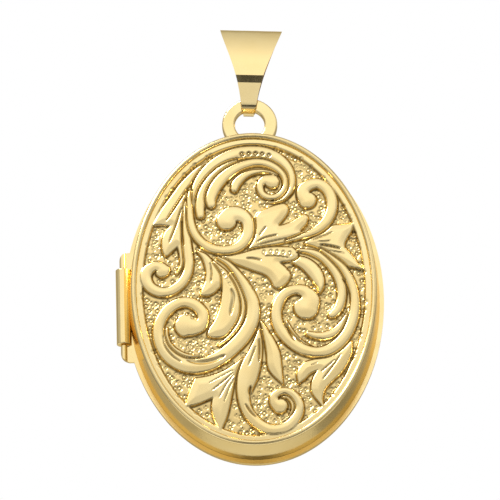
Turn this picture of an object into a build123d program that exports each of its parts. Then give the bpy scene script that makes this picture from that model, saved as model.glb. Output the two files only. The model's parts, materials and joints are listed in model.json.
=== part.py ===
"""An oval hinged picture locket with a flat hanger ring and a folded, tapered bail. Units are millimetres.

Row frame: +Z up, the front cover faces -Y, the hinge is on the -X side. The origin is the point inside
the top of the bail that rests on a neck chain, and the locket hangs below it.
Everything is first modelled about the middle of the locket's body, with the parting plane at y = 0, and
moved into the row frame when it is written. Every oval of the case has the same difference between its
half height and its half width, so nested ovals lie a constant distance apart.
"""

from build123d import *
import math
import os

# --- driving dimensions -------------------------------------------------------------------------
OVAL_STRETCH = 3.25  # half height less half width, for every oval of the case
PARTING_GAP = 0.04  # free gap between the closed halves

# front cover: half widths of its ovals and depths in front of the parting plane
FRONT_LIP_A = 9.62
FRONT_EDGE_A = 9.37
BEAD_INNER_A = 8.95
BEAD_CREST = 2.90
BEAD_ROUND = 0.19
BEAD_ROOT = 2.60
PANEL_EDGE = 2.25
PANEL_RISE = 0.25
PANEL_THICK = 0.38
PANEL_HOLLOW_A = 8.85  # half width of the hollow under the panel
FRONT_INNER_A = 9.10
DOME_ARC = math.radians(30)  # half angle of the sphere cap that is stretched into the panel

# back cover
BACK_LIP_A = 9.95
BACK_INNER_A = 9.00
BACK_DEPTH = 2.20
BACK_BAND = 0.35  # straight part of the wall beside the parting plane
BACK_FLAT_A = 6.60
BACK_FLOOR_THICK = 0.40
BACK_HOLLOW_A = 8.85
BACK_HOLLOW_FLAT_A = 6.30

# the seats that the pictures rest on
SEAT_INNER_A = 8.10
SEAT_THICK = 0.40
FRONT_SEAT = 1.45
BACK_SEAT = 0.70

# picture frames, their clear windows and the blanks behind them
FRAME_THICK = 0.60
FRAME_LIP = 0.25
FRAME_SKIRT = 0.30
FRAME_OPENING_A = 7.55
FRAME_PLAY = 0.05
FRAME_ROUND = 0.10
WINDOW_THICK = 0.18
BLANK_THICK = 0.11
STACK_PLAY = 0.02  # on each side of the window and behind the blank

# the oval rim that the front cover snaps over
SNAP_THICK = 0.25
SNAP_RISE = 0.75
SNAP_RIDGE_R = 0.30
SNAP_RIDGE = 0.05
SNAP_RIDGE_LENGTH = 2.0

# hinge
HINGE_X = -10.02
HINGE_MID_Z = -0.38
KNUCKLE_R = 0.56
KNUCKLE_LENGTH = 6.08
KNUCKLE_END_ROUND = 0.08
NOTCH_R = 0.61
LUG_R = 0.25
LUG_LENGTH = 1.35
LUG_STRAIGHT = 0.60
LUG_REACH = 1.00
LUG_FAIRING = (-1, 0.2)  # direction in which the faired end leaves the wall
PIN_R = 0.16
PIN_END_ROUND = 0.06
PIN_RUNNING = 0.04
HINGE_END_PLAY = 0.05

# hanger ring, a flat annulus soldered on top of the back cover
RING_OUTER_R = 2.14
RING_INNER_R = 1.15
RING_THICK = 0.60
RING_BACK_SET = 0.05
RING_CENTRE_Z = 14.45
RING_ROUND = 0.15

# bail: an oval loop above a kink, a short tucked face, straight legs and a small round at the bottom
BAIL_THICK = 0.25
BAIL_LOOP_R = 0.85
BAIL_UPPER_DEPTH = 1.18
BAIL_UPPER_HEIGHT = 3.80
BAIL_TOP_Z = 22.35
BAIL_KINK_Z = 18.20
BAIL_TUCK_HEIGHT = 0.55
BAIL_TUCK_ANGLE = math.radians(20)  # from upright, inwards going down
# one side of the bail seen from the front: the control points of a Bezier curve, as (x, z)
BAIL_OUTLINE = [(2.69, 22.45), (1.55, 19.60), (0.90, 18.30), (0.60, 15.75)]
BAIL_SHOULDER = 0.25  # height over which the strip narrows to the tongue of its foot
BAIL_FOOT_HALF_WIDTH = 0.44
BAIL_REAR_SHARE = 0.80  # width of the rear strip, as a share of the front one

CUT_MARGIN = 0.10  # how far a cutting shape reaches past what it cuts
ON_PLANE = 1e-3  # an edge this close to a plane lies on it

# worked out from the above
RING_MID_Y = RING_BACK_SET + RING_THICK / 2
RING_TOP_Z = RING_CENTRE_Z + (RING_OUTER_R + RING_INNER_R) / 2
CHAIN_REST_Z = BAIL_TOP_Z - BAIL_THICK
HALF_GAP = PARTING_GAP / 2
PIN_HALF_LENGTH = KNUCKLE_LENGTH / 2 + HINGE_END_PLAY + LUG_STRAIGHT
ROW_FRAME = Pos(0, -RING_MID_Y, -CHAIN_REST_Z)


# --- shared shapes ------------------------------------------------------------------------------
def oval(half_width, y):
    """A flat oval face of the case, square to Y."""
    return Plane.XZ.offset(-y) * Ellipse(half_width, half_width + OVAL_STRETCH)


def oval_slab(half_width, y_from, y_to):
    """A straight oval block between two depths."""
    return extrude(oval(half_width, y_from), amount=y_to - y_from, dir=(0, 1, 0))


def oval_dome(half_width, y_edge, rise):
    """A low domed cap on an oval edge, rising towards -Y, closed by a flat face at its edge."""
    width = half_width / math.sin(DOME_ARC)
    height = (half_width + OVAL_STRETCH) / math.sin(DOME_ARC)
    depth = rise / (1 - math.cos(DOME_ARC))
    centre_y = y_edge - rise + depth
    whole = Pos(0, centre_y, 0) * scale(Sphere(1), by=(width, depth, height))
    return whole & oval_slab(half_width, y_edge - 2 * rise, y_edge)


def rounded_pan(half_width, flat_half_width, y_from, y_to, sections=7):
    """A pan whose wall turns into its flat floor along a quarter of an ellipse."""
    turn = half_width - flat_half_width
    faces = []
    for step in range(sections):
        angle = math.pi / 2 * step / (sections - 1)
        inset = turn * (1 - math.cos(angle))
        faces.append(oval(half_width - inset, y_from + (y_to - y_from) * math.sin(angle)))
    return loft(faces)


def post(radius, z_from, z_to):
    """A round bar on the hinge axis, between two heights about the hinge's middle."""
    return Pos(HINGE_X, 0, HINGE_MID_Z + (z_from + z_to) / 2) * Cylinder(radius, z_to - z_from)


# --- case ---------------------------------------------------------------------------------------
def front_cover():
    wall = loft([oval(FRONT_LIP_A, -HALF_GAP), oval(FRONT_EDGE_A, -BEAD_ROOT)], ruled=True)
    shell = wall + oval_slab(FRONT_EDGE_A, -BEAD_CREST, -BEAD_ROOT)
    shell -= oval_slab(BEAD_INNER_A, -BEAD_CREST, -PANEL_EDGE)
    crest = [e for e in shell.edges() if abs(e.center().Y + BEAD_CREST) < ON_PLANE]
    shell = fillet(crest, BEAD_ROUND)
    shell += oval_dome(BEAD_INNER_A, -PANEL_EDGE, PANEL_RISE)
    inner_edge = -PANEL_EDGE + PANEL_THICK
    hollow = oval_slab(FRONT_INNER_A, -FRONT_SEAT, 0)
    hollow += oval_slab(SEAT_INNER_A, -FRONT_SEAT - SEAT_THICK, -FRONT_SEAT)
    hollow += oval_slab(PANEL_HOLLOW_A, inner_edge, -FRONT_SEAT - SEAT_THICK)
    hollow += oval_dome(PANEL_HOLLOW_A, inner_edge, PANEL_RISE)
    half_length = KNUCKLE_LENGTH / 2 + HINGE_END_PLAY
    return shell - hollow - post(KNUCKLE_R, -half_length, half_length)


def back_outer():
    return oval_slab(BACK_LIP_A, HALF_GAP, BACK_BAND) + rounded_pan(
        BACK_LIP_A, BACK_FLAT_A, BACK_BAND, BACK_DEPTH
    )


def back_cover():
    seat_foot = BACK_SEAT + SEAT_THICK
    hollow = oval_slab(BACK_INNER_A, 0, BACK_SEAT)
    hollow += oval_slab(SEAT_INNER_A, BACK_SEAT, seat_foot)
    hollow += rounded_pan(BACK_HOLLOW_A, BACK_HOLLOW_FLAT_A, seat_foot, BACK_DEPTH - BACK_FLOOR_THICK)
    half_length = KNUCKLE_LENGTH / 2 + HINGE_END_PLAY
    return back_outer() - hollow - post(NOTCH_R, -half_length, half_length)


def snap_rim():
    """An upright oval rim inside the back cover, with a low snap ridge opposite the hinge."""
    rim = oval_slab(BACK_INNER_A, -SNAP_RISE, BACK_SEAT)
    rim -= oval_slab(BACK_INNER_A - SNAP_THICK, -SNAP_RISE, BACK_SEAT)
    ridge_x = BACK_INNER_A + SNAP_RIDGE - SNAP_RIDGE_R
    ridge = Pos(ridge_x, -SNAP_RISE / 2, 0) * Cylinder(SNAP_RIDGE_R, SNAP_RIDGE_LENGTH)
    return rim + (ridge - oval_slab(BACK_INNER_A - SNAP_THICK / 2, -SNAP_RISE, 0))


# --- hinge --------------------------------------------------------------------------------------
def centre_knuckle():
    half_length = KNUCKLE_LENGTH / 2
    tube = post(KNUCKLE_R, -half_length, half_length)
    ends = [e for e in tube.edges() if e.geom_type == GeomType.CIRCLE]
    tube = fillet(ends, KNUCKLE_END_ROUND)
    return tube - post(PIN_R + PIN_RUNNING, -half_length, half_length)


def lug(side):
    """An end knuckle beyond the centre one, above it (side 1) or below it (side -1), faired into the wall."""
    foot = KNUCKLE_LENGTH / 2 + HINGE_END_PLAY
    top = foot + LUG_LENGTH
    web_from = HINGE_X + LUG_REACH / 2
    web = Pos(web_from, (HALF_GAP + LUG_R) / 2, HINGE_MID_Z) * Box(LUG_REACH, LUG_R - HALF_GAP, 2 * top)
    body = post(LUG_R, -top, top) + web
    outline = make_face(
        [
            Polyline(
                (HINGE_X - LUG_R, foot + LUG_STRAIGHT),
                (HINGE_X - LUG_R, foot),
                (HINGE_X + LUG_REACH, foot),
                (HINGE_X + LUG_REACH, top),
            ),
            Spline(
                (HINGE_X + LUG_REACH, top),
                (HINGE_X - LUG_R, foot + LUG_STRAIGHT),
                tangents=[LUG_FAIRING, (0, -1)],
            ),
        ]
    )
    outline = Pos(0, 0, HINGE_MID_Z) * extrude(Plane.XZ * outline, amount=LUG_REACH, both=True)
    if side < 0:
        outline = mirror(outline, about=Plane.XY.offset(HINGE_MID_Z))
    return (body & outline) - back_outer() - post(PIN_R, -PIN_HALF_LENGTH, PIN_HALF_LENGTH)


def hinge_pin():
    pin = post(PIN_R, -PIN_HALF_LENGTH, PIN_HALF_LENGTH)
    return fillet([e for e in pin.edges() if e.geom_type == GeomType.CIRCLE], PIN_END_ROUND)


# --- pictures -----------------------------------------------------------------------------------
def picture_stack(outer_a, y_face, inward):
    """A frame, its window and its blank: y_face is the frame's open face, inward its way into the cover."""

    def layer(half_width, near, far):
        ys = sorted((y_face + inward * near, y_face + inward * far))
        return oval_slab(half_width, *ys)

    frame = layer(outer_a, 0, FRAME_THICK)
    frame -= layer(outer_a - FRAME_SKIRT, FRAME_LIP, FRAME_THICK)
    frame -= layer(FRAME_OPENING_A, 0, FRAME_THICK)
    rims = [e for e in frame.edges() if abs(e.center().Y - y_face) < ON_PLANE]
    frame = fillet(rims, FRAME_ROUND)
    sheet_a = outer_a - FRAME_SKIRT - FRAME_PLAY
    window_far = FRAME_LIP + STACK_PLAY + WINDOW_THICK
    window = layer(sheet_a, FRAME_LIP + STACK_PLAY, window_far)
    blank_near = window_far + STACK_PLAY
    blank = layer(sheet_a, blank_near, blank_near + BLANK_THICK)
    return frame, window, blank


# --- hanging parts ------------------------------------------------------------------------------
def hanger_ring():
    ring = Plane.XZ.offset(-RING_BACK_SET) * (Circle(RING_OUTER_R) - Circle(RING_INNER_R))
    ring = extrude(Pos(0, 0, RING_CENTRE_Z) * ring, amount=RING_THICK, dir=(0, 1, 0))
    ring = fillet(ring.edges().filter_by(GeomType.CIRCLE), RING_ROUND)
    return ring - back_outer()


def bail_side(inset):
    """The bail's outline seen from the side, in local (depth, height) about the ring's middle plane."""
    depth = BAIL_UPPER_DEPTH - inset
    height = BAIL_UPPER_HEIGHT - inset
    foot_r = BAIL_LOOP_R - inset
    upper_centre = BAIL_TOP_Z - BAIL_UPPER_HEIGHT
    upper = Pos(0, upper_centre) * Ellipse(depth, height)
    upper -= Pos(0, BAIL_KINK_Z - height) * Rectangle(4 * depth, 2 * height)
    kink_depth = depth * math.sqrt(1 - ((BAIL_KINK_Z - upper_centre) / height) ** 2)
    tuck_z = BAIL_KINK_Z - BAIL_TUCK_HEIGHT
    tuck_depth = kink_depth - BAIL_TUCK_HEIGHT * math.tan(BAIL_TUCK_ANGLE)
    # the legs run from the tucked face to touch the small round at the bottom
    rise = tuck_z - RING_TOP_Z
    reach = math.hypot(tuck_depth, rise)
    angle = math.atan2(rise, tuck_depth) - math.acos(foot_r / reach)
    touch_depth = foot_r * math.cos(angle)
    touch_z = RING_TOP_Z + foot_r * math.sin(angle)
    corners = [(kink_depth, BAIL_KINK_Z), (tuck_depth, tuck_z), (touch_depth, touch_z)]
    corners += [(-depth, z) for depth, z in reversed(corners)]
    legs = make_face(Polyline(*corners, close=True))
    return upper + legs + Pos(0, RING_TOP_Z) * Circle(foot_r)


def bail_outline(y, width_share):
    """The bail's outline seen from the front, at one depth, drawn in to a share of its width."""
    side = [(width * width_share, z) for width, z in BAIL_OUTLINE]
    right = Bezier(*side)
    left = Bezier(*[(-width, z) for width, z in side])
    foot = BAIL_FOOT_HALF_WIDTH * width_share
    foot_z = RING_TOP_Z - BAIL_LOOP_R - CUT_MARGIN
    tongue_z = side[-1][1] - BAIL_SHOULDER
    right_foot = [side[-1], (foot, tongue_z), (foot, foot_z)]
    left_foot = [(-x, z) for x, z in reversed(right_foot)]
    bottom = Polyline(*right_foot, *left_foot)
    top = Line(left @ 0, right @ 0)
    return Plane.XZ.offset(-y) * make_face([right, bottom, left, top])


def bail():
    side = bail_side(0) - bail_side(BAIL_THICK)
    # local x of this plane runs along +Y, local y along +Z
    side_plane = Plane(origin=(0, RING_MID_Y, 0), x_dir=(0, 1, 0), z_dir=(1, 0, 0))
    widest = BAIL_OUTLINE[0][0]
    loop = extrude(side_plane * side, amount=widest + CUT_MARGIN, both=True)
    front = bail_outline(RING_MID_Y - BAIL_UPPER_DEPTH - CUT_MARGIN, 1)
    rear = bail_outline(RING_MID_Y + BAIL_UPPER_DEPTH + CUT_MARGIN, BAIL_REAR_SHARE)
    return loop & loft([front, rear], ruled=True)


# --- write the nodes ----------------------------------------------------------------------------
front_frame, front_window, front_blank = picture_stack(
    FRONT_INNER_A - FRAME_PLAY, -FRONT_SEAT + FRAME_THICK, -1
)
back_frame, back_window, back_blank = picture_stack(
    BACK_INNER_A - SNAP_THICK - FRAME_PLAY, BACK_SEAT - FRAME_THICK, 1
)

nodes = {
    "front_cover": front_cover(),
    "back_cover": back_cover(),
    "snap_rim": snap_rim(),
    "hinge_centre_knuckle": centre_knuckle(),
    "hinge_upper_lug": lug(1),
    "hinge_lower_lug": lug(-1),
    "hinge_pin": hinge_pin(),
    "front_picture_frame": front_frame,
    "front_picture_window": front_window,
    "front_picture_blank": front_blank,
    "back_picture_frame": back_frame,
    "back_picture_window": back_window,
    "back_picture_blank": back_blank,
    "hanger_ring": hanger_ring(),
    "bail": bail(),
}

os.makedirs("parts", exist_ok=True)
for name, shape in nodes.items():
    export_step(ROW_FRAME * shape, f"parts/{name}.step")
    print(name, "solids", len(shape.solids()), "volume", round(shape.volume, 3))
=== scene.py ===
"""An oval gold locket: the scroll relief of its front cover, the finishes, the light and the camera."""

import json
import math

import bpy
import numpy as np
from mathutils import Matrix, Vector


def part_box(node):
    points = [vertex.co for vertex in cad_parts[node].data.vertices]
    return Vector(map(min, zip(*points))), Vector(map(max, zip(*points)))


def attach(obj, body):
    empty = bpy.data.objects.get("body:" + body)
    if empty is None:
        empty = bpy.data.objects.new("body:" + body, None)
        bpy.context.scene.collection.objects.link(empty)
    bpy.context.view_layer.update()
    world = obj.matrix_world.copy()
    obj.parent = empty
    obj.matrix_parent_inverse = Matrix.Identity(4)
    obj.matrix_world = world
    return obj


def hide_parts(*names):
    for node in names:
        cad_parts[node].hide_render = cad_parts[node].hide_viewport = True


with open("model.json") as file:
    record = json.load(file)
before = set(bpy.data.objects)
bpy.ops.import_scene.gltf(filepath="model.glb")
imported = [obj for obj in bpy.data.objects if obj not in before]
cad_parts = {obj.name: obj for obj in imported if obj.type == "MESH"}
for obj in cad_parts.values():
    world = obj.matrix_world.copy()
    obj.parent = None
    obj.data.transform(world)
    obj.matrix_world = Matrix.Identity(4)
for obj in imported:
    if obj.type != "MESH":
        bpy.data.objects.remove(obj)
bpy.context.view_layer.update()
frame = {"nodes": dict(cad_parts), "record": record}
MM = 0.001

# The case's middle, on the parting plane and half way up, in the row frame.
back_low, back_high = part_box("back_cover")
_, front_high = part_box("front_cover")
PARTING_HALF_GAP = 0.02 * MM
CASE_MIDDLE = Vector((0, front_high.y + PARTING_HALF_GAP, (back_low.z + back_high.z) / 2))

# Ovals of the case, as part.py makes them: half width, with the half height longer by OVAL_STRETCH (mm).
OVAL_STRETCH = 3.25


# --- the relief: every point is (x, z) in mm from the case's middle ------------------------------
# A band is a ridge along a line of (x, z, half width).
# A leaf is an outline of smooth legs that meet at corners.
# They are listed from the lowest to the one that lies on top.

left_leaf = [
    [(-3.3, 10.45), (-4.1, 9.95), (-4.9, 9.25), (-5.6, 8.45), (-6.2, 7.6), (-6.95, 6.55), (-7.65, 5.3)],
    [(-7.65, 5.3), (-6.9, 5.32), (-6.25, 5.2)],
    [
        (-6.25, 5.2), (-6.65, 4.8), (-6.87, 4.3), (-6.95, 3.6), (-6.85, 3.0), (-6.6, 2.75), (-6.2, 3.1),
        (-5.75, 3.5),
    ],
    [
        (-5.75, 3.5), (-5.62, 2.8), (-5.6, 2.0), (-5.9, 1.2), (-5.3, 2.2), (-5.2, 4.0), (-5.1, 6.0),
        (-4.95, 7.2),
    ],
    [(-4.95, 7.2), (-4.6, 8.2), (-4.1, 9.0), (-3.3, 10.45)],
]
centre_leaf_left = [
    [(-4.3, 3.1), (-3.85, 2.4), (-3.62, 1.4), (-3.7, 0.6), (-3.95, 0.0), (-4.1, -0.5)],
    [(-4.1, -0.5), (-3.6, -0.57), (-3.1, -0.4), (-2.65, 0.0), (-2.38, 0.5)],
    [(-2.38, 0.5), (-2.55, 1.3), (-3.0, 2.1), (-3.6, 2.8), (-4.3, 3.1)],
]
centre_leaf_right = [
    [(-3.0, 2.2), (-2.45, 1.2), (-2.38, 0.3), (-2.45, -0.6), (-2.62, -1.5), (-3.0, -2.5), (-3.45, -3.2)],
    [(-3.45, -3.2), (-3.6, -3.75), (-2.9, -3.97), (-2.2, -3.78), (-1.6, -3.2), (-1.2, -2.4), (-1.08, -1.4)],
    [(-1.08, -1.4), (-1.15, -0.4), (-1.5, 0.5), (-2.1, 1.4), (-3.0, 2.2)],
]
upper_leaf = [
    [(-0.35, 3.1), (0.15, 4.0), (0.32, 5.0), (0.27, 5.75)],
    [
        (0.27, 5.75), (0.6, 6.15), (1.2, 6.42), (1.9, 6.66), (2.5, 6.75), (2.78, 6.4), (2.7, 5.95),
        (2.4, 5.5),
    ],
    [(2.4, 5.5), (2.02, 5.02), (2.3, 5.0), (2.9, 5.22), (3.4, 5.52), (4.0, 5.85), (4.28, 5.6), (4.15, 5.1)],
    [(4.15, 5.1), (3.66, 4.46), (4.3, 4.42), (5.0, 4.6)],
    [(5.0, 4.6), (4.0, 4.05), (3.0, 3.72), (2.0, 3.5), (1.0, 3.3), (-0.35, 3.1)],
]
right_leaf = [
    [(3.9, 3.5), (4.6, 3.95), (5.4, 4.42), (6.0, 4.87), (6.8, 4.98), (7.75, 5.05)],
    [(7.75, 5.05), (7.6, 4.5), (7.3, 4.0), (7.05, 3.5), (7.0, 3.15)],
    [(7.0, 3.15), (7.3, 2.8), (7.7, 2.3), (8.0, 1.8), (8.35, 1.35)],
    [(8.35, 1.35), (7.8, 1.42), (7.2, 1.58), (6.6, 1.85), (6.0, 2.27), (5.4, 2.8), (4.8, 3.2), (3.9, 3.5)],
]
tongue_leaf = [
    [(-2.6, 2.55), (-1.0, 1.8), (0.0, 1.37), (0.9, 1.0), (1.3, 0.55), (1.5, 0.05)],
    [(1.5, 0.05), (1.8, -0.12), (2.2, 0.02), (2.6, 0.4), (2.82, 0.85), (2.65, 1.35), (2.0, 1.98)],
    [(2.0, 1.98), (2.6, 2.05), (3.3, 2.3), (3.4, 2.75), (3.0, 3.2)],
    [(3.0, 3.2), (1.5, 3.22), (0.2, 3.05), (-1.2, 2.7), (-2.6, 2.55)],
]
bottom_left_leaf = [
    [(-0.95, -5.6), (-1.6, -6.1), (-2.4, -6.6), (-3.4, -6.95), (-4.65, -7.15)],
    [(-4.65, -7.15), (-5.0, -8.0), (-5.25, -8.7), (-5.4, -9.4)],
    [(-5.4, -9.4), (-4.6, -9.22), (-4.0, -9.0), (-3.3, -8.7)],
    [(-3.3, -8.7), (-3.42, -9.4), (-3.35, -10.0), (-3.15, -10.6), (-2.75, -11.35)],
    [(-2.75, -11.35), (-2.3, -10.3), (-2.05, -9.4), (-1.85, -8.4), (-1.6, -7.2), (-0.95, -5.6)],
]
stem_leaf = [
    [(0.42, -2.6), (0.95, -3.4), (1.45, -4.3), (1.8, -5.2), (1.93, -6.2), (2.02, -7.8)],
    [(2.02, -7.8), (1.2, -6.95), (0.9, -6.3), (0.85, -5.4), (0.75, -4.5), (0.42, -2.6)],
]
bottom_right_leaf = [
    [
        (7.35, -4.4), (6.2, -5.3), (5.2, -5.75), (4.4, -5.9), (3.7, -6.1), (3.3, -6.5), (3.1, -7.0),
        (3.2, -7.8),
    ],
    [(3.2, -7.8), (3.7, -7.4), (4.1, -7.0), (4.68, -6.72)],
    [(4.68, -6.72), (4.3, -7.4), (4.15, -8.0), (4.25, -8.6), (5.1, -9.8)],
    [
        (5.1, -9.8), (4.98, -9.0), (5.25, -8.2), (5.8, -7.6), (6.5, -6.9), (7.0, -6.1), (7.3, -5.3),
        (7.35, -4.4),
    ],
]

top_arch = [
    (-4.6, 6.2, 0.08), (-4.5, 7.0, 0.16), (-4.38, 7.8, 0.25), (-4.1, 8.6, 0.33), (-3.6, 9.35, 0.38),
    (-2.9, 10.05, 0.43), (-2.1, 10.6, 0.45), (-1.1, 11.0, 0.46), (0.0, 11.12, 0.46), (1.0, 11.02, 0.45),
    (1.9, 10.66, 0.42), (2.6, 10.05, 0.37), (3.0, 9.3, 0.32), (3.08, 8.5, 0.3), (2.9, 7.8, 0.26),
    (2.4, 7.2, 0.18), (1.8, 6.98, 0.1), (1.2, 6.98, 0.04),
]
first_lobe = [
    (-3.95, 5.98, 0.28), (-3.97, 6.6, 0.33), (-3.86, 7.4, 0.34), (-3.55, 8.2, 0.33), (-3.0, 9.0, 0.31),
    (-2.3, 9.7, 0.25), (-1.6, 10.17, 0.15), (-1.1, 10.38, 0.06),
]
second_lobe = [
    (-3.1, 6.85, 0.32), (-3.12, 7.3, 0.38), (-2.88, 8.0, 0.42), (-2.4, 8.75, 0.42), (-1.7, 9.42, 0.38),
    (-0.8, 9.95, 0.32), (0.2, 10.22, 0.28), (1.1, 10.15, 0.26), (1.9, 9.75, 0.23), (2.42, 9.2, 0.2),
    (2.6, 8.6, 0.17), (2.52, 8.0, 0.18), (2.1, 7.48, 0.2), (1.5, 7.3, 0.21), (0.95, 7.5, 0.23),
    (0.68, 7.95, 0.25), (0.72, 8.45, 0.28), (1.05, 8.72, 0.38), (1.5, 8.65, 0.52), (1.66, 8.62, 0.56),
]
third_lobe = [
    (-1.3, 8.08, 0.28), (-1.15, 8.5, 0.33), (-0.7, 9.0, 0.29), (-0.1, 9.33, 0.22), (0.6, 9.47, 0.15),
    (1.3, 9.42, 0.1), (2.0, 9.2, 0.05),
]
eye_scroll = [
    (-4.75, 8.0, 0.05), (-4.8, 7.4, 0.13), (-4.76, 6.6, 0.19), (-4.7, 5.6, 0.24), (-4.5, 4.7, 0.28),
    (-4.05, 3.95, 0.3), (-3.4, 3.4, 0.32), (-2.6, 3.12, 0.32), (-1.7, 3.12, 0.34), (-0.95, 3.45, 0.38),
    (-0.45, 4.1, 0.42), (-0.3, 4.9, 0.42), (-0.45, 5.55, 0.45), (-0.95, 5.95, 0.55), (-1.55, 5.95, 0.68),
    (-1.95, 5.5, 0.76),
]
right_top_scroll = [
    (2.6, 3.68, 0.05), (3.4, 3.9, 0.12), (4.2, 4.2, 0.22), (5.0, 4.62, 0.32), (5.7, 5.3, 0.38),
    (6.1, 6.2, 0.4), (6.12, 7.1, 0.4), (5.8, 7.9, 0.4), (5.2, 8.36, 0.39), (4.55, 8.32, 0.42),
    (4.05, 7.95, 0.47), (3.98, 7.45, 0.52), (4.25, 7.05, 0.68),
]
left_scroll = [
    (-5.0, 7.2, 0.05), (-5.08, 6.2, 0.14), (-5.08, 5.0, 0.22), (-5.02, 3.8, 0.3), (-4.93, 2.8, 0.33),
    (-4.9, 2.0, 0.33), (-5.1, 1.15, 0.35), (-5.6, 0.4, 0.36), (-6.4, -0.1, 0.37), (-7.2, -0.12, 0.38),
    (-7.9, 0.3, 0.4), (-8.22, 1.0, 0.42), (-8.05, 1.65, 0.42), (-7.5, 1.98, 0.36), (-7.1, 1.85, 0.42),
    (-6.94, 1.62, 0.57),
]
right_lobe_one = [
    (2.6, 2.3, 0.15), (3.3, 2.12, 0.35), (4.0, 1.8, 0.48), (4.6, 1.2, 0.53), (4.95, 0.5, 0.43),
    (5.08, 0.0, 0.26), (5.0, -0.5, 0.08),
]
right_lobe_two = [
    (3.4, 2.95, 0.1), (4.5, 2.72, 0.22), (5.3, 2.3, 0.28), (5.95, 1.6, 0.32), (6.4, 0.8, 0.33),
    (6.65, -0.1, 0.33), (6.65, -1.0, 0.33), (6.42, -1.75, 0.34), (6.1, -2.18, 0.3), (5.85, -2.35, 0.24),
]
right_lobe_three = [
    (4.02, -3.8, 0.16), (4.7, -4.0, 0.26), (5.4, -3.98, 0.3), (6.15, -3.65, 0.31), (6.75, -3.0, 0.27),
    (7.2, -2.2, 0.18), (7.3, -1.5, 0.06),
]
right_scroll = [
    (5.2, 2.95, 0.04), (6.1, 2.2, 0.15), (6.85, 1.4, 0.25), (7.35, 0.45, 0.31), (7.62, -0.6, 0.33),
    (7.66, -1.7, 0.36), (7.45, -2.8, 0.38), (6.98, -3.85, 0.39), (6.3, -4.65, 0.4), (5.5, -5.15, 0.4),
    (4.6, -5.3, 0.37), (3.7, -5.1, 0.4), (2.9, -4.6, 0.42), (2.2, -3.85, 0.42), (1.75, -3.0, 0.4),
    (1.65, -2.1, 0.38), (1.88, -1.2, 0.38), (2.4, -0.55, 0.37), (3.15, -0.25, 0.37), (3.9, -0.45, 0.48),
    (4.2, -1.05, 0.75), (3.95, -1.68, 0.94),
]
right_fin = [
    (2.42, -2.85, 0.08), (2.62, -3.4, 0.17), (3.0, -4.05, 0.2), (3.6, -4.6, 0.16), (4.3, -4.88, 0.08),
]
lower_left_scroll = [
    (-2.7, 2.5, 0.06), (-2.0, 2.05, 0.14), (-1.4, 1.4, 0.22), (-0.85, 0.55, 0.31), (-0.4, -0.35, 0.39),
    (-0.12, -1.2, 0.45), (-0.1, -2.1, 0.49), (-0.33, -3.0, 0.5), (-0.9, -3.95, 0.52), (-1.7, -4.8, 0.53),
    (-2.6, -5.5, 0.55), (-3.6, -6.0, 0.56), (-4.6, -6.2, 0.54), (-5.6, -6.0, 0.52), (-6.5, -5.4, 0.48),
    (-7.1, -4.55, 0.43), (-7.35, -3.6, 0.4), (-7.25, -2.7, 0.4), (-6.8, -1.85, 0.4), (-6.1, -1.25, 0.39),
    (-5.3, -1.02, 0.39), (-4.55, -1.25, 0.4), (-4.0, -1.85, 0.42), (-3.93, -2.5, 0.42), (-4.2, -2.95, 0.52),
    (-4.65, -3.0, 0.72), (-5.12, -2.88, 0.95),
]
lower_left_lobe = [
    (-6.72, -3.1, 0.08), (-6.75, -3.9, 0.2), (-6.45, -4.6, 0.25), (-5.9, -5.15, 0.29), (-5.1, -5.5, 0.27),
    (-4.2, -5.55, 0.2), (-3.3, -5.35, 0.1),
]
inner_ribbon = [
    (-1.75, 1.15, 0.06), (-1.25, 0.35, 0.1), (-0.93, -0.6, 0.12), (-0.83, -1.5, 0.13), (-0.95, -2.4, 0.13),
    (-1.35, -3.2, 0.13), (-2.0, -4.0, 0.11), (-2.8, -4.55, 0.06),
]
bottom_scroll = [
    (0.3, -3.4, 0.04), (0.2, -4.3, 0.28), (-0.02, -5.2, 0.5), (-0.34, -6.2, 0.7), (-0.66, -7.2, 0.74),
    (-0.92, -8.2, 0.56), (-0.95, -9.1, 0.42), (-0.65, -10.0, 0.4), (0.0, -10.8, 0.4), (0.8, -11.3, 0.4),
    (1.6, -11.35, 0.38), (2.4, -11.05, 0.38), (3.0, -10.4, 0.35), (3.25, -9.65, 0.3), (3.05, -8.95, 0.28),
    (2.55, -8.45, 0.26), (1.9, -8.35, 0.26), (1.35, -8.7, 0.3), (1.35, -9.2, 0.38), (1.72, -9.5, 0.58),
]
bottom_inner_turn = [
    (1.95, -8.76, 0.05), (2.4, -8.85, 0.1), (2.72, -9.25, 0.13), (2.75, -9.8, 0.13), (2.45, -10.4, 0.1),
    (1.9, -10.75, 0.05),
]

MOTIFS = [
    ("leaf", left_leaf), ("leaf", right_leaf), ("leaf", bottom_left_leaf), ("leaf", bottom_right_leaf),
    ("leaf", upper_leaf), ("leaf", stem_leaf), ("leaf", centre_leaf_left), ("leaf", centre_leaf_right),
    ("band", inner_ribbon), ("band", left_scroll), ("band", right_lobe_three), ("band", right_fin),
    ("band", right_lobe_two), ("band", right_lobe_one), ("leaf", tongue_leaf), ("band", right_scroll),
    ("band", top_arch), ("band", first_lobe), ("band", third_lobe), ("band", second_lobe),
    ("band", right_top_scroll), ("band", lower_left_lobe), ("band", bottom_inner_turn),
    ("band", bottom_scroll), ("band", lower_left_scroll), ("band", eye_scroll),
]

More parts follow.
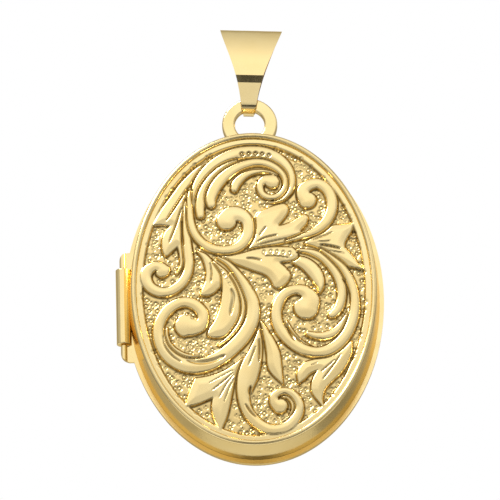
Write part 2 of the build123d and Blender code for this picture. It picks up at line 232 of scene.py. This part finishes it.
# Engraved cuts: a line of points, then the half width at its middle and the depth, in mm.
CUTS = [
    ([(-4.35, 8.85), (-5.1, 7.9), (-5.75, 6.9), (-6.6, 5.6)], 0.10, 0.16),
    ([(-5.35, 6.7), (-5.75, 5.5), (-6.4, 3.75)], 0.09, 0.13),
    ([(-5.42, 5.6), (-5.38, 4.5), (-5.3, 3.5)], 0.11, 0.15),
    ([(0.5, 4.15), (1.05, 4.9)], 0.09, 0.08),
    ([(0.3, 3.65), (1.0, 4.0), (1.9, 4.2)], 0.07, 0.10),
    ([(0.4, 3.4), (1.5, 3.68), (2.6, 3.9)], 0.06, 0.09),
    ([(5.1, 3.33), (5.9, 3.2), (6.7, 3.0)], 0.10, 0.13),
    ([(4.6, 3.75), (5.4, 4.05), (6.15, 4.35)], 0.06, 0.08),
    ([(4.9, 3.55), (6.0, 3.62)], 0.05, 0.06),
    ([(5.6, 2.85), (6.4, 2.7), (7.0, 2.62)], 0.05, 0.06),
    ([(-0.55, 2.35), (0.1, 2.3), (0.65, 2.15)], 0.07, 0.10),
    ([(0.9, 2.5), (1.8, 2.45), (2.7, 2.3)], 0.05, 0.07),
    ([(3.3, 2.75), (4.1, 2.6), (4.8, 2.2), (5.3, 1.85)], 0.10, 0.14),
    ([(6.75, 0.55), (7.05, 0.0), (7.28, -0.8), (7.25, -1.6)], 0.08, 0.12),
    ([(-1.72, -0.1), (-1.58, -0.9), (-1.85, -2.25)], 0.16, 0.09),
    ([(-3.3, 2.1), (-3.2, 1.2), (-3.3, 0.4)], 0.08, 0.10),
    ([(-5.2, -5.7), (-4.2, -5.93), (-3.2, -5.8), (-2.3, -5.42)], 0.2, 0.09),
    ([(-7.0, -3.6), (-6.85, -4.5), (-6.3, -5.3), (-5.6, -5.85)], 0.07, 0.12),
    ([(0.3, -4.2), (0.32, -5.2), (0.25, -6.0)], 0.11, 0.13),
    ([(0.0, -4.8), (-0.25, -5.5), (-0.55, -6.3)], 0.07, 0.09),
    ([(0.55, -4.3), (0.68, -5.3), (0.68, -6.3)], 0.05, 0.08),
    ([(-0.42, -7.9), (-0.5, -8.4), (-0.3, -9.1)], 0.12, 0.20),
    ([(-0.85, -9.35), (-0.5, -9.9), (-0.05, -10.35)], 0.09, 0.13),
    ([(-1.7, -6.6), (-2.6, -7.05), (-3.6, -7.6)], 0.05, 0.08),
    ([(-1.7, -6.8), (-2.5, -7.5), (-3.4, -8.2)], 0.06, 0.09),
    ([(-1.7, -7.0), (-2.3, -7.8), (-2.85, -8.8)], 0.06, 0.09),
    ([(-1.65, -7.2), (-2.1, -8.2), (-2.45, -9.1)], 0.05, 0.08),
    ([(6.5, -5.5), (5.8, -6.5), (5.05, -7.5)], 0.07, 0.10),
    ([(6.0, -5.95), (5.5, -6.4), (4.9, -6.9)], 0.06, 0.09),
    ([(4.7, -6.15), (4.2, -6.35)], 0.05, 0.06),
    ([(2.5, -3.0), (2.6, -3.6), (3.0, -4.35)], 0.13, 0.12),
]
# Rows of punched beads, as (x, z); those on the top arch shrink to the right and have their own radii.
ARCH_DOTS = [
    (-0.65, 10.9, 0.17), (-0.12, 10.93, 0.16), (0.4, 10.93, 0.16), (0.9, 10.88, 0.15), (1.42, 10.77, 0.14),
]
RIB_BEADS = [(0.85, 2.8), (1.38, 2.83), (1.85, 2.8), (2.33, 2.73), (2.82, 2.65)]
LADDER_BEADS = [(-2.42, 1.35), (-2.2, 1.0), (-2.0, 0.66), (-1.82, 0.32)]

ARCH_DOT_DEPTH = 0.2
RIB_BEAD_RADIUS = 0.14
RIB_BEAD_DEPTH = 0.09
RIB_BEAD_TALL = 1.4  # height over width
LADDER_BEAD_RADIUS = 0.13
LADDER_BEAD_DEPTH = 0.06

# The panel, in mm. Depths are in front of the parting plane.
GRID = 0.0605  # distance between the relief's points
GRID_MARGIN = 0.05
PANEL_A = 9.03  # half width
GROUND_DEPTH = 2.36  # at the panel's edge
GROUND_RISE = 0.25  # from the edge to the middle
SLAB_BACK_DEPTH = 2.15
BORDER_A = 8.48  # half width of the ground inside the border
BORDER_RISE = 0.24

# A motif's section, in mm.
RELIEF = 0.26  # height of its face
CROWN = 0.09  # further height along the middle of a band
FULL_CROWN_WIDTH = 0.35
LEAF_CROWN = 0.072
LEAF_CROWN_REACH = 0.7  # distance inside a leaf's edge where its crown is full
EDGE = 0.15  # width of its rounded side
SWELL = 0.11  # how far its foot reaches past the drawn outline
MOAT = 0.1  # width of the groove round it
OVERLAP_CUT = 0.3  # share of an older motif's height that is left under it
CUT_GAIN = 1.5  # by how much the engraved cuts are deepened
SHAPE_MARGIN = 0.3
CUT_MARGIN = 0.1
PUNCH_MARGIN = 0.15

# The ring punches of the matted ground, in mm.
PUNCH_SEED = 11
PUNCH_TRIES = 9000
PUNCH_SPACING = 0.29
PUNCH_RADII = (0.12, 0.19)
PUNCH_DEPTHS = (0.05, 0.13)
PUNCH_COVER_LIMIT = 0.25  # no punch where a motif covers the ground by more than this
RING_CREST = 0.72  # radius and width of the sunk ring, as shares of the punch's radius
RING_WIDTH = 0.34

# What counts as a crevice for the painted crevice shade: this far below its surroundings, and this much
# further for the darkest.
CREVICE_START = 0.012
CREVICE_DEPTH = 0.05


def smooth(t):
    """An even step from 0 to 1."""
    t = np.clip(t, 0, 1)
    return t * t * (3 - 2 * t)


def spline(points, spacing=0.07):
    """Points along a Catmull-Rom curve through the given ones, about spacing apart."""
    p = np.array(points, float)
    p = np.vstack([2 * p[0] - p[1], p, 2 * p[-1] - p[-2]])
    run = []
    for a, b, c, d in zip(p[:-3], p[1:-2], p[2:-1], p[3:]):
        count = max(2, int(np.linalg.norm(c[:2] - b[:2]) / spacing) + 1)
        t = np.linspace(0, 1, count, endpoint=False)[:, None]
        run.append(
            0.5 * (2 * b + (c - a) * t + (2 * a - 5 * b + 4 * c - d) * t**2 + (3 * b - a - 3 * c + d) * t**3)
        )
    return np.vstack(run + [p[-2][None]])


def nearest(x, z, line):
    """Distance to a polyline, and where on it: the segment number plus the share along it."""
    best = np.full(x.shape, 1e9)
    place = np.zeros(x.shape)
    for i in range(len(line) - 1):
        a, b = line[i, :2], line[i + 1, :2]
        d = b - a
        t = np.clip(((x - a[0]) * d[0] + (z - a[1]) * d[1]) / max(d @ d, 1e-12), 0, 1)
        gap = np.hypot(x - a[0] - t * d[0], z - a[1] - t * d[1])
        closer = gap < best
        best = np.where(closer, gap, best)
        place = np.where(closer, i + t, place)
    return best, place


def inside(x, z, line):
    """Whether each point lies inside a closed outline."""
    odd = np.zeros(x.shape, bool)
    for (ax, az), (bx, bz) in zip(line, np.roll(line, -1, axis=0)):
        if az == bz:
            continue
        crosses = (az > z) != (bz > z)
        odd ^= crosses & (x < (bx - ax) * (z - az) / (bz - az) + ax)
    return odd


class Relief:
    """Heights above the panel's ground on a square grid, in mm."""

    def __init__(self):
        reach = PANEL_A + GRID_MARGIN
        self.x = np.arange(-reach, reach + GRID, GRID)
        self.z = np.arange(-reach - OVAL_STRETCH, reach + OVAL_STRETCH + GRID, GRID)
        self.height = np.zeros((len(self.z), len(self.x)))
        self.cover = np.zeros((len(self.z), len(self.x)))

    def window(self, line, margin):
        """The part of the grid round a line: its rows, its columns and the places of its points."""
        x0, z0 = line[:, :2].min(0) - margin
        x1, z1 = line[:, :2].max(0) + margin
        columns = slice(np.searchsorted(self.x, x0), np.searchsorted(self.x, x1))
        rows = slice(np.searchsorted(self.z, z0), np.searchsorted(self.z, z1))
        x, z = np.meshgrid(self.x[columns], self.z[rows])
        return rows, columns, x, z

    def lay(self, rows, columns, depth_in, crown):
        """Puts a raised shape on what is there; depth_in is the distance inside its edge."""
        old = self.height[rows, columns]
        cut = OVERLAP_CUT + (1 - OVERLAP_CUT) * smooth(-depth_in / MOAT)
        rise = smooth(depth_in / EDGE)
        foot = OVERLAP_CUT * old
        new = foot + (RELIEF + crown - foot) * rise
        self.height[rows, columns] = np.where(depth_in > 0, new, old * cut)
        self.cover[rows, columns] = np.maximum(self.cover[rows, columns], smooth(depth_in / MOAT + 1))

    def band(self, points):
        """A ridge along a line of (x, z, half width)."""
        line = spline(points)
        rows, columns, x, z = self.window(line, line[:, 2].max() + SHAPE_MARGIN)
        gap, place = nearest(x, z, line)
        width = np.interp(place, np.arange(len(line)), line[:, 2]) + SWELL
        across = np.clip(gap / np.maximum(width, 1e-6), 0, 1)
        crown = CROWN * (1 - across**2) * smooth(width / FULL_CROWN_WIDTH)
        self.lay(rows, columns, width - gap, crown)

    def leaf(self, legs):
        """A raised face inside an outline of smooth legs."""
        line = np.vstack([spline(leg)[:-1] for leg in legs])
        closed = np.vstack([line, line[:1]])
        rows, columns, x, z = self.window(line, SHAPE_MARGIN)
        gap, _ = nearest(x, z, closed)
        depth_in = np.where(inside(x, z, line), gap, -gap) + SWELL
        self.lay(rows, columns, depth_in, LEAF_CROWN * smooth(depth_in / LEAF_CROWN_REACH))

    def cut(self, points, half_width, depth):
        """An engraved line that narrows towards both ends."""
        line = spline(points)
        rows, columns, x, z = self.window(line, half_width + CUT_MARGIN)
        gap, place = nearest(x, z, line)
        along = place / (len(line) - 1)
        width = half_width * np.sqrt(np.clip(1 - (2 * along - 1) ** 4, 0.05, 1))
        self.height[rows, columns] -= CUT_GAIN * depth * smooth(1 - gap / np.maximum(width, 1e-6) * 0.8)

    def add_border(self):
        """The smooth ledge that runs inside the bead."""
        x, z = np.meshgrid(self.x, self.z)
        reach = np.hypot(x / BORDER_A, z / (BORDER_A + OVAL_STRETCH))
        self.height = np.maximum(self.height, BORDER_RISE * smooth((reach - 1) * BORDER_A / EDGE + 0.5))

    def ring_punch(self, x0, z0, radius, depth, tall=1.0):
        """The mark of a hollow punch: a sunk ring round a small bead."""
        rows, columns, x, z = self.window(np.array([[x0, z0]]), radius * tall + PUNCH_MARGIN)
        gap = np.hypot(x - x0, (z - z0) / tall)
        off_crest = (gap - radius * RING_CREST) / (radius * RING_WIDTH)
        self.height[rows, columns] -= depth * np.exp(-(off_crest**2))


def mat_ground(relief):
    """Ring punches all over the open ground, placed at random and never closer than their spacing."""
    chance = np.random.default_rng(PUNCH_SEED)
    placed = []
    for _ in range(PUNCH_TRIES):
        x = chance.uniform(-PANEL_A, PANEL_A)
        z = chance.uniform(-PANEL_A - OVAL_STRETCH, PANEL_A + OVAL_STRETCH)
        if (x / BORDER_A) ** 2 + (z / (BORDER_A + OVAL_STRETCH)) ** 2 > 1:
            continue
        row = min(np.searchsorted(relief.z, z), len(relief.z) - 1)
        column = min(np.searchsorted(relief.x, x), len(relief.x) - 1)
        if relief.cover[row, column] > PUNCH_COVER_LIMIT:
            continue
        if any(math.hypot(x - a, z - b) < PUNCH_SPACING for a, b in placed):
            continue
        placed.append((x, z))
        radius = chance.uniform(*PUNCH_RADII)
        depth = chance.uniform(*PUNCH_DEPTHS)
        relief.ring_punch(x, z, radius, depth)


def carve_relief():
    """The whole panel: motifs, engraved cuts, border, rows of beads and the matted ground."""
    relief = Relief()
    for kind, shape in MOTIFS:
        getattr(relief, kind)(shape)
    for points, half_width, depth in CUTS:
        relief.cut(points, half_width, depth)
    relief.add_border()
    for x, z, radius in ARCH_DOTS:
        relief.ring_punch(x, z, radius, ARCH_DOT_DEPTH)
    for x, z in RIB_BEADS:
        relief.ring_punch(x, z, RIB_BEAD_RADIUS, RIB_BEAD_DEPTH, tall=RIB_BEAD_TALL)
    for x, z in LADDER_BEADS:
        relief.ring_punch(x, z, LADDER_BEAD_RADIUS, LADDER_BEAD_DEPTH)
    mat_ground(relief)
    return relief


def crevices(height):
    """How far each point lies below its surroundings, which sets the painted crevice shade: 0 on open
    ground, 1 in a deep line.
    """
    spread = height
    for _ in range(3):
        for axis in (0, 1):
            spread = (np.roll(spread, 1, axis) + spread + np.roll(spread, -1, axis)) / 3
    return np.clip((spread - height - CREVICE_START) / CREVICE_DEPTH, 0, 1)


def point_values(mesh, name, values):
    """Stores one number for each of the mesh's first points, for its material to read."""
    whole = np.zeros(len(mesh.vertices))
    whole[: len(values)] = values
    mesh.attributes.new(name, "FLOAT", "POINT").data.foreach_set("value", whole)


def relief_object(relief):
    """The panel as a closed slab: relief in front, flat behind, with its edge buried in the cover's wall."""
    x, z = np.meshgrid(relief.x, relief.z)
    reach = (x / PANEL_A) ** 2 + (z / (PANEL_A + OVAL_STRETCH)) ** 2
    y = -GROUND_DEPTH - GROUND_RISE * (1 - reach) - relief.height
    inner = reach < 1
    quads_in = inner[:-1, :-1] & inner[:-1, 1:] & inner[1:, 1:] & inner[1:, :-1]
    used = np.zeros(x.shape, bool)
    for rows, columns in ((0, 0), (0, 1), (1, 1), (1, 0)):
        used[rows : rows + quads_in.shape[0], columns : columns + quads_in.shape[1]] |= quads_in
    number = np.cumsum(used).reshape(used.shape) - 1
    corners = [number[:-1, :-1], number[:-1, 1:], number[1:, 1:], number[1:, :-1]]
    quads = np.stack([c[quads_in] for c in corners], 1)
    following = np.roll(quads, -1, axis=1)
    forward = set(zip(quads.ravel().tolist(), following.ravel().tolist()))
    rim = {a: b for a, b in forward if (b, a) not in forward}
    front = np.stack([x[used], y[used], z[used]], 1)
    loop = list(rim)
    back_number = {a: len(front) + i for i, a in enumerate(loop)}
    back = front[loop].copy()
    back[:, 1] = -SLAB_BACK_DEPTH
    middle = len(front) + len(back)
    points = np.vstack([front, back, [[0, -SLAB_BACK_DEPTH, 0]]]) * MM + np.array(CASE_MIDDLE)
    faces = quads.tolist()
    faces += [[b, a, back_number[a], back_number[b]] for a, b in rim.items()]
    faces += [[back_number[b], back_number[a], middle] for a, b in rim.items()]
    mesh = bpy.data.meshes.new("front_relief_panel")
    mesh.from_pydata(points.tolist(), [], faces)
    mesh.polygons.foreach_set("use_smooth", np.ones(len(faces), bool))
    # the raised share and the crevice depth drive the painted shade of the hollows and crevices
    point_values(mesh, "raised", np.clip(relief.height[used] / (RELIEF + CROWN), 0, 1))
    point_values(mesh, "crevice", crevices(relief.height)[used])
    panel = bpy.data.objects.new("front_relief_panel", mesh)
    bpy.context.scene.collection.objects.link(panel)
    return panel


# --- finishes ------------------------------------------------------------------------------------
class Nodes:
    """Short ways to make and join the nodes of one node tree."""

    def __init__(self, owner):
        owner.use_nodes = True
        self.tree = owner.node_tree

    def add(self, kind, **settings):
        node = self.tree.nodes.new(kind)
        for name, value in settings.items():
            setattr(node, name, value)
        return node

    def join(self, output, entry):
        self.tree.links.new(output, entry)

    def noise(self, place, scale, detail=4.0):
        node = self.add("ShaderNodeTexNoise")
        node.inputs["Scale"].default_value = scale
        node.inputs["Detail"].default_value = detail
        self.join(place, node.inputs["Vector"])
        return node.outputs["Fac"]

    def spread(self, value, low, high, start=0.3, stop=0.7):
        """The value's range from start to stop, stretched over low to high."""
        node = self.add("ShaderNodeMapRange")
        for name, number in (("From Min", start), ("From Max", stop), ("To Min", low), ("To Max", high)):
            node.inputs[name].default_value = number
        self.join(value, node.inputs["Value"])
        return node.outputs["Result"]

    def ramp(self, value, levels):
        """A grey level from a list of (value, level), with values from -1 to 1."""
        node = self.add("ShaderNodeValToRGB")
        stops = node.color_ramp.elements
        for _ in levels[2:]:
            stops.new(0.5)
        for stop, (place, level) in zip(stops, levels):
            stop.position = (place + 1) / 2
            stop.color = (level, level, level, 1)
        self.join(self.spread(value, 0, 1, start=-1, stop=1), node.inputs["Fac"])
        return node.outputs["Color"]

    def blend(self, factor, first, second):
        """A mix of two colours, each a tuple or the output of another node."""
        node = self.add("ShaderNodeMix", data_type="RGBA")
        self.join(factor, node.inputs["Factor"])
        for entry, colour in ((node.inputs["A"], first), (node.inputs["B"], second)):
            if isinstance(colour, tuple):
                entry.default_value = (*colour, 1)
            else:
                self.join(colour, entry)
        return node.outputs["Result"]

    def bump(self, height, strength, distance):
        node = self.add("ShaderNodeBump")
        node.inputs["Strength"].default_value = strength
        node.inputs["Distance"].default_value = distance
        self.join(height, node.inputs["Height"])
        return node.outputs["Normal"]


GOLD = (0.92, 0.70, 0.31)
WORN_GOLD = (0.95, 0.76, 0.38)
# painted shade: the relief's low ground takes this darker gold
HOLLOW_SHADE_GOLD = (0.86, 0.64, 0.27)
# painted shade: the crevices take this dark brown
CREVICE_SHADE_BROWN = (0.16, 0.11, 0.04)
NOISE_TURN = (0.4, 0.15, 0.7)  # keeps flat faces off the noise's own grid


def millimetres(nodes, stretch=(1, 1, 1)):
    """The object's own coordinates in millimetres, turned and stretched for a noise to read."""
    place = nodes.add("ShaderNodeTexCoord").outputs["Object"]
    scale = nodes.add("ShaderNodeMapping")
    scale.inputs["Scale"].default_value = [s / MM for s in stretch]
    scale.inputs["Rotation"].default_value = NOISE_TURN
    nodes.join(place, scale.inputs["Vector"])
    return scale.outputs["Vector"]


def gold_finish(name, polish, hairlines=(1, 1, 9), relief=False):
    """Gold with uneven colour, smudged gloss and fine hairlines; in relief it has painted shade: darker in
    the hollows, dark brown in the crevices.
    """
    material = bpy.data.materials.new(name)
    nodes = Nodes(material)
    shader = nodes.tree.nodes["Principled BSDF"]
    shader.inputs["Metallic"].default_value = 1.0
    shader.inputs["Specular Tint"].default_value = (1.0, 0.84, 0.52, 1)
    place = millimetres(nodes)
    colour = nodes.blend(nodes.spread(nodes.noise(place, 0.35), 0, 1), GOLD, WORN_GOLD)
    if relief:
        raised = nodes.add("ShaderNodeAttribute", attribute_name="raised").outputs["Fac"]
        # painted shade: the lower the point, the more of the darker gold
        hollow_shade = nodes.spread(raised, 1.0, 0.0, start=0.0, stop=0.55)
        colour = nodes.blend(hollow_shade, colour, HOLLOW_SHADE_GOLD)
        crevice = nodes.add("ShaderNodeAttribute", attribute_name="crevice").outputs["Fac"]
        # painted shade: the deeper the crevice, the browner
        colour = nodes.blend(nodes.spread(crevice, 0.0, 0.75, start=0.0, stop=1.0), colour, CREVICE_SHADE_BROWN)
    nodes.join(colour, shader.inputs["Base Color"])
    smudges = nodes.noise(place, 0.9, detail=4)
    nodes.join(nodes.spread(smudges, polish * 0.75, polish * 1.5), shader.inputs["Roughness"])
    lines = nodes.noise(millimetres(nodes, hairlines), 6.0, detail=3)
    nodes.join(nodes.bump(lines, 0.12, 0.01 * MM), shader.inputs["Normal"])
    return material


def window_finish():
    """A clear sheet, seen through and lightly smeared."""
    material = bpy.data.materials.new("clear_window")
    nodes = Nodes(material)
    shader = nodes.tree.nodes["Principled BSDF"]
    shader.inputs["Alpha"].default_value = 0.16
    shader.inputs["IOR"].default_value = 1.49
    shader.inputs["Specular IOR Level"].default_value = 1.0
    place = millimetres(nodes)
    tint = nodes.blend(nodes.noise(place, 0.5), (0.95, 0.97, 0.97), (1.0, 1.0, 0.99))
    nodes.join(tint, shader.inputs["Base Color"])
    nodes.join(nodes.spread(nodes.noise(place, 1.4, 6), 0.02, 0.09), shader.inputs["Roughness"])
    return material


def card_finish():
    """Plain matt card with a soft fibre."""
    material = bpy.data.materials.new("blank_card")
    nodes = Nodes(material)
    shader = nodes.tree.nodes["Principled BSDF"]
    fibres = nodes.noise(millimetres(nodes, (1, 1, 2)), 2.0, detail=3)
    tone = nodes.spread(fibres, 0, 1)
    nodes.join(nodes.blend(tone, (0.80, 0.76, 0.66), (0.90, 0.87, 0.79)), shader.inputs["Base Color"])
    nodes.join(nodes.spread(fibres, 0.75, 0.95), shader.inputs["Roughness"])
    nodes.join(nodes.bump(fibres, 0.2, 0.01 * MM), shader.inputs["Normal"])
    return material


# Sheets are shaded flat, and everything else smoothly up to this angle between faces.
FLAT_SLOTS = ("clear_window", "blank_card")
SHARP_ANGLE = math.radians(25)


def dress_nodes():
    """Gives every solid the finish of its slot."""
    finishes = {
        "relief_gold": gold_finish("polished_cover_gold", 0.14),
        "polished_gold": gold_finish("polished_gold", 0.12),
        "frame_gold": gold_finish("satin_frame_gold", 0.3, hairlines=(9, 1, 1)),
        "clear_window": window_finish(),
        "blank_card": card_finish(),
    }
    for part in frame["record"]["subparts"]:
        mesh = frame["nodes"][part["node"]].data
        mesh.materials.clear()
        mesh.materials.append(finishes[part["material_slot"]])
        if part["material_slot"] in FLAT_SLOTS:
            mesh.shade_flat()
        else:
            mesh.shade_smooth()
            mesh.set_sharp_from_angle(angle=SHARP_ANGLE)


# --- the leaning bail ----------------------------------------------------------------------------
BAIL_LEAN = math.radians(3)


def leaning_bail():
    """The bail as it hangs, tipped a little to the right about the top of the ring."""
    _, ring_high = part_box("hanger_ring")
    pivot = Vector((0, 0, ring_high.z))
    source = frame["nodes"]["bail"]
    piece = source.copy()
    piece.data = source.data.copy()
    piece.name = "leaning_bail"
    piece.data.name = "leaning_bail"
    bpy.context.scene.collection.objects.link(piece)
    lean = Matrix.Rotation(BAIL_LEAN, 4, "Y")
    piece.data.transform(Matrix.Translation(pivot) @ lean @ Matrix.Translation(-pivot))
    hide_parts("bail")
    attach(piece, "bail")


# --- light, floor and camera ---------------------------------------------------------------------
CAMERA_TILT = math.radians(20)  # it looks up at the locket
CAMERA_ROLL = math.radians(-1.45)
CAMERA_LENS = 400
CAMERA_DISTANCE = 427 * MM
CAMERA_AIM = CASE_MIDDLE + Vector((-0.22, 0, 4.05)) * MM
CAMERA_BACK = Vector((0, -math.cos(CAMERA_TILT), -math.sin(CAMERA_TILT)))  # from the aim to the camera


def add_camera():
    """A long lens below the locket, looking up at its front."""
    data = bpy.data.cameras.new("camera")
    data.lens = CAMERA_LENS
    data.sensor_width = 36
    data.clip_start = 0.01
    data.clip_end = 10
    camera = bpy.data.objects.new("camera", data)
    bpy.context.scene.collection.objects.link(camera)
    camera.location = CAMERA_AIM + CAMERA_BACK * CAMERA_DISTANCE
    roll = Matrix.Rotation(CAMERA_ROLL, 3, "Z")
    camera.rotation_euler = ((-CAMERA_BACK).to_track_quat("-Z", "Y").to_matrix() @ roll).to_euler()
    bpy.context.scene.camera = camera


# brightness of the tent by the sine of the height above the horizon
SKY_BY_HEIGHT = [
    (-1.0, 0.1), (-0.6, 0.42), (-0.3, 0.7), (0.2, 0.76), (0.3, 1.0), (0.5, 1.25), (0.75, 0.9), (1.0, 0.65),
]
# and what is left of it by the share of the direction that lies along X: two dark gaps between the panels
TENT_BY_SIDE = [
    (-1.0, 0.62), (-0.82, 0.5), (-0.68, 1.0), (0.36, 1.0), (0.5, 0.4), (0.62, 0.9), (0.85, 0.7), (1.0, 0.6),
]
# its brightness behind the locket, against 1 in front
BACK_DIMMING = 0.6
# soft round spots in degrees: height above the horizon, place to the right, radius of the core and of the
# edge; and then the brightness. The dark one is the photographer's lens.
TENT_SPOTS = [(-20, 0, 9, 13, 0.06), (24, 2, 4, 9, 1.18)]


def add_studio():
    """A white tent, dimmer low down and behind, with its soft spots. The camera itself sees plain white."""
    world = bpy.data.worlds.new("studio_tent")
    bpy.context.scene.world = world
    nodes = Nodes(world)
    tent = nodes.tree.nodes["Background"]
    direction = nodes.add("ShaderNodeTexCoord").outputs["Generated"]
    split = nodes.add("ShaderNodeSeparateXYZ")
    nodes.join(direction, split.inputs[0])
    by_height = nodes.ramp(split.outputs["Z"], SKY_BY_HEIGHT)
    by_side = nodes.ramp(split.outputs["X"], TENT_BY_SIDE)
    light = nodes.add("ShaderNodeMix", data_type="RGBA", blend_type="MULTIPLY")
    light.inputs["Factor"].default_value = 1
    nodes.join(by_height, light.inputs["A"])
    nodes.join(by_side, light.inputs["B"])
    shade = light.outputs["Result"]
    for up, right, core, edge, level in TENT_SPOTS:
        up, right, core, edge = (math.radians(angle) for angle in (up, right, core, edge))
        toward = nodes.add("ShaderNodeVectorMath", operation="DOT_PRODUCT")
        level_part = math.cos(up)
        place = (math.sin(right) * level_part, -math.cos(right) * level_part, math.sin(up))
        toward.inputs[1].default_value = place
        nodes.join(direction, toward.inputs[0])
        spot = nodes.spread(toward.outputs["Value"], 0, 1, start=math.cos(edge), stop=math.cos(core))
        shade = nodes.blend(spot, shade, (level, level, level))
    nodes.join(shade, tent.inputs["Color"])
    strength = nodes.spread(split.outputs["Y"], 1, BACK_DIMMING, start=-0.1, stop=0.3)
    nodes.join(strength, tent.inputs["Strength"])
    seen = nodes.add("ShaderNodeBackground")
    seen.inputs["Color"].default_value = (1, 1, 1, 1)
    choice = nodes.add("ShaderNodeMixShader")
    nodes.join(nodes.add("ShaderNodeLightPath").outputs["Is Camera Ray"], choice.inputs["Fac"])
    nodes.join(tent.outputs[0], choice.inputs[1])
    nodes.join(seen.outputs[0], choice.inputs[2])
    nodes.join(choice.outputs[0], nodes.tree.nodes["World Output"].inputs["Surface"])


def add_softbox(name, place, size, power):
    """A square soft light that faces the case."""
    data = bpy.data.lights.new(name, "AREA")
    data.size = size
    data.energy = power
    light = bpy.data.objects.new(name, data)
    light.location = CASE_MIDDLE + Vector(place)
    light.rotation_euler = (CASE_MIDDLE - light.location).to_track_quat("-Z", "Y").to_euler()
    bpy.context.scene.collection.objects.link(light)


# The floor ends just in front of the locket, whose lower faces would otherwise mirror it.
FLOOR_Z = -0.26
FLOOR_HALF_WIDTH = 0.6
FLOOR_FRONT = -0.04
FLOOR_BACK = 0.8


def add_floor():
    """A plain pale floor well below the locket."""
    corners = [
        (-FLOOR_HALF_WIDTH, FLOOR_FRONT, FLOOR_Z),
        (FLOOR_HALF_WIDTH, FLOOR_FRONT, FLOOR_Z),
        (FLOOR_HALF_WIDTH, FLOOR_BACK, FLOOR_Z),
        (-FLOOR_HALF_WIDTH, FLOOR_BACK, FLOOR_Z),
    ]
    mesh = bpy.data.meshes.new("floor")
    mesh.from_pydata(corners, [], [(0, 1, 2, 3)])
    floor = bpy.data.objects.new("floor", mesh)
    bpy.context.scene.collection.objects.link(floor)
    material = bpy.data.materials.new("pale_floor")
    nodes = Nodes(material)
    shader = nodes.tree.nodes["Principled BSDF"]
    grain = nodes.noise(nodes.add("ShaderNodeTexCoord").outputs["Object"], 40, 6)
    nodes.join(nodes.blend(grain, (0.80, 0.80, 0.79), (0.85, 0.85, 0.84)), shader.inputs["Base Color"])
    shader.inputs["Roughness"].default_value = 0.7
    mesh.materials.append(material)


bpy.context.scene.view_settings.view_transform = "Standard"
add_camera()
add_studio()
add_softbox("upper_left_softbox", (-0.35, -0.3, 0.5), 0.3, 4)
add_floor()
dress_nodes()
leaning_bail()
panel = relief_object(carve_relief())
panel.data.materials.append(gold_finish("relief_gold", 0.13, relief=True))
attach(panel, "front_half")
